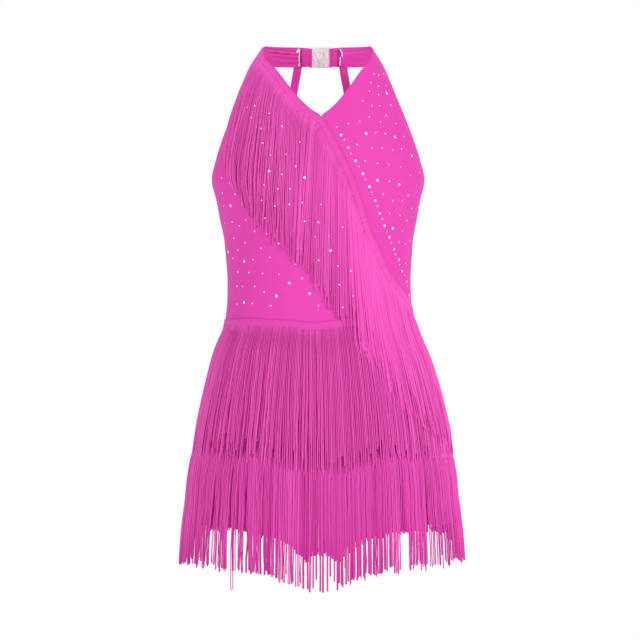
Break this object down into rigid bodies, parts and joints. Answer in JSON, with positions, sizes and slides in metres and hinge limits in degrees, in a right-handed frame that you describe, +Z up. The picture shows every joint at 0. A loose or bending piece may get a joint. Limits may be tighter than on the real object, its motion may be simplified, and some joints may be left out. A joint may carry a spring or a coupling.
{
  "type": "latin dance dress",
  "caption": "Sleeveless halter dance leotard with boy-leg shorts, a diagonal fringe across the front, tiered fringe round the hips, an open back with straps and a clear clasp at the nape.",
  "frame": {"origin": "centre of the neck ring, halfway up the neckband, where the wearer's neck and the halter hold the dress", "axes": "+Z up, -Y the wearer's front, -X the wearer's right"},
  "size_m": [0.3583, 0.2343, 0.6795],
  "materials": {
    "cloth": "hot pink stretch knit with a soft sheen",
    "fringe": "hot pink viscose chainette fringe",
    "clear_plastic": "clear ribbed plastic"
  },
  "bodies": {
    "root": {"front_right": "cloth", "front_left": "cloth", "back_bodice": "cloth", "neckband_right": "cloth", "neckband_left": "cloth", "back_strap_right": "cloth", "back_strap_left": "cloth", "shorts_front_right": "cloth", "shorts_front_left": "cloth", "shorts_back_right": "cloth", "shorts_back_left": "cloth", "gusset": "cloth", "fringe_diagonal": "fringe", "fringe_waist_front": "fringe", "fringe_waist_back": "fringe", "fringe_lower_front": "fringe", "fringe_lower_back": "fringe", "clasp_hook": "clear_plastic", "clasp_loop": "clear_plastic"}
  },
  "joints": []
}
